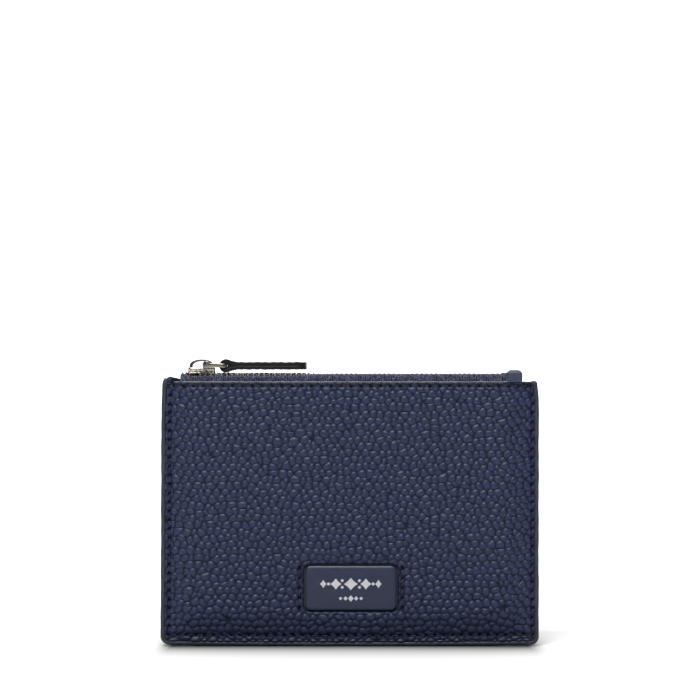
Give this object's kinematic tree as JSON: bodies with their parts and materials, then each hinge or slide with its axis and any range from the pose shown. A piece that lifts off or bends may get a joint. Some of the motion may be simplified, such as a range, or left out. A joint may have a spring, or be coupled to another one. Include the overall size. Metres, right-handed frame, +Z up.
{
  "type": "card holder",
  "caption": "Flat zipped leather card holder with a slider, link and leather pull, a plain emblem patch, a zipped pocket and card slots on the back.",
  "frame": {"origin": "middle of the flat bottom edge, on the middle plane between front and back", "axes": "+Z up, +X to the right along the zip, the front faces -Y"},
  "size_m": [0.135, 0.0114, 0.1032],
  "materials": {
    "grained_leather": "pebble-grained navy leather, satin",
    "smooth_leather": "smooth navy leather, satin",
    "pull_leather": "charcoal leather with painted edges, satin",
    "edge_paint": "dark edge paint, satin",
    "lining_fabric": "woven red lining",
    "zip_tape": "knitted navy zip tape",
    "backing_board": "matt dark board",
    "nickel": "polished nickel"
  },
  "bodies": {
    "pouch": {"front_leather": "grained_leather", "back_leather": "grained_leather", "front_lining": "lining_fabric", "back_lining": "lining_fabric", "edge_coat": "edge_paint", "emblem_patch": "smooth_leather", "emblem_backing": "backing_board", "front_tape_hem": "zip_tape", "back_tape_hem": "zip_tape", "front_tape_end": "zip_tape", "back_tape_end": "zip_tape", "front_teeth_end": "nickel", "back_teeth_end": "nickel", "zip_end_tab": "smooth_leather", "bottom_stop": "nickel", "front_top_stop": "nickel", "back_top_stop": "nickel", "card_slot_top": "grained_leather", "card_slot_middle": "grained_leather", "card_slot_lower": "grained_leather"},
    "zip_front_half": {"front_tape": "zip_tape", "front_teeth": "nickel"},
    "zip_back_half": {"back_tape": "zip_tape", "back_teeth": "nickel"},
    "slider": {"slider_body": "nickel", "slider_bridge": "nickel"},
    "link": {"pull_link": "nickel"},
    "pull": {"pull_strap": "pull_leather"}
  },
  "joints": [
    {"name": "slider_travel", "type": "slide", "parent": "pouch", "child": "slider", "axis": [1, 0, 0], "range_m": [0, 0.0975], "deforming": ["front_tape", "front_teeth", "back_tape", "back_teeth"]},
    {"name": "link_swing", "type": "hinge", "parent": "slider", "child": "link", "pos_m": [-0.0526, 0, 0.10125], "axis": [0, -1, 0], "range_deg": [0, 120]},
    {"name": "pull_swing", "type": "hinge", "parent": "link", "child": "pull", "pos_m": [-0.0446, 0, 0.1008], "axis": [0, -1, 0], "range_deg": [0, 60]},
    {"name": "front_zip_open", "type": "hinge", "parent": "pouch", "child": "zip_front_half", "pos_m": [0, -0.00285, 0.0953], "axis": [1, 0, 0], "range_deg": [0, 50]},
    {"name": "back_zip_open", "type": "hinge", "parent": "pouch", "child": "zip_back_half", "pos_m": [0, 0.00285, 0.0953], "axis": [-1, 0, 0], "range_deg": [0, 50]}
  ],
  "couplings": [
    {"joint": "front_zip_open", "follows": "slider_travel", "rad_per_m": 8.9},
    {"joint": "back_zip_open", "follows": "slider_travel", "rad_per_m": 8.9}
  ]
}
